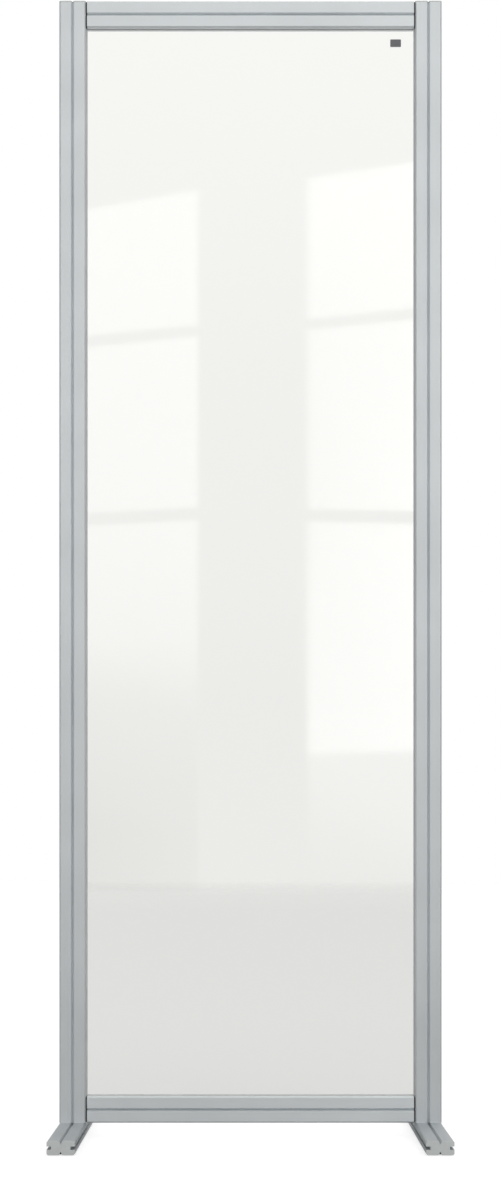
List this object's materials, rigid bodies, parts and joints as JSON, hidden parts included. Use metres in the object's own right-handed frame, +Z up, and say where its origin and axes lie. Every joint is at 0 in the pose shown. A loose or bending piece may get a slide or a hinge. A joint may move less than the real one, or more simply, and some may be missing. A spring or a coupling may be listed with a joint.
{
  "type": "acrylic room divider",
  "caption": "Free-standing room divider: a clear acrylic sheet framed by grooved aluminium posts and rails, standing on long feet that run front to back.",
  "frame": {"origin": "on the floor, below the middle of the sheet", "axes": "+Z up along the posts, +X to the right along the rails as seen from the front, -Y towards the front"},
  "size_m": [0.606, 0.45, 1.8],
  "materials": {
    "anodised_aluminium": "satin",
    "clear_acrylic": "gloss",
    "glazing_rubber": "matte",
    "cap_plastic": "matte",
    "spacer_plastic": "matte",
    "pad_rubber": "matte",
    "screw_steel": "satin",
    "label_vinyl": "satin"
  },
  "bodies": {
    "root": {"left_post": "anodised_aluminium", "right_post": "anodised_aluminium", "top_rail": "anodised_aluminium", "bottom_rail": "anodised_aluminium", "acrylic_panel": "clear_acrylic", "left_glazing_strip": "glazing_rubber", "right_glazing_strip": "glazing_rubber", "top_glazing_strip": "glazing_rubber", "bottom_glazing_strip": "glazing_rubber", "top_left_spacer": "spacer_plastic", "top_right_spacer": "spacer_plastic", "bottom_left_spacer": "spacer_plastic", "bottom_right_spacer": "spacer_plastic", "left_foot": "anodised_aluminium", "right_foot": "anodised_aluminium", "left_foot_front_cap": "cap_plastic", "left_foot_rear_cap": "cap_plastic", "right_foot_front_cap": "cap_plastic", "right_foot_rear_cap": "cap_plastic", "left_post_cap": "cap_plastic", "right_post_cap": "cap_plastic", "left_front_pad": "pad_rubber", "left_rear_pad": "pad_rubber", "right_front_pad": "pad_rubber", "right_rear_pad": "pad_rubber", "corner_screws": "screw_steel", "foot_screws": "screw_steel", "corner_label": "label_vinyl"}
  },
  "joints": []
}
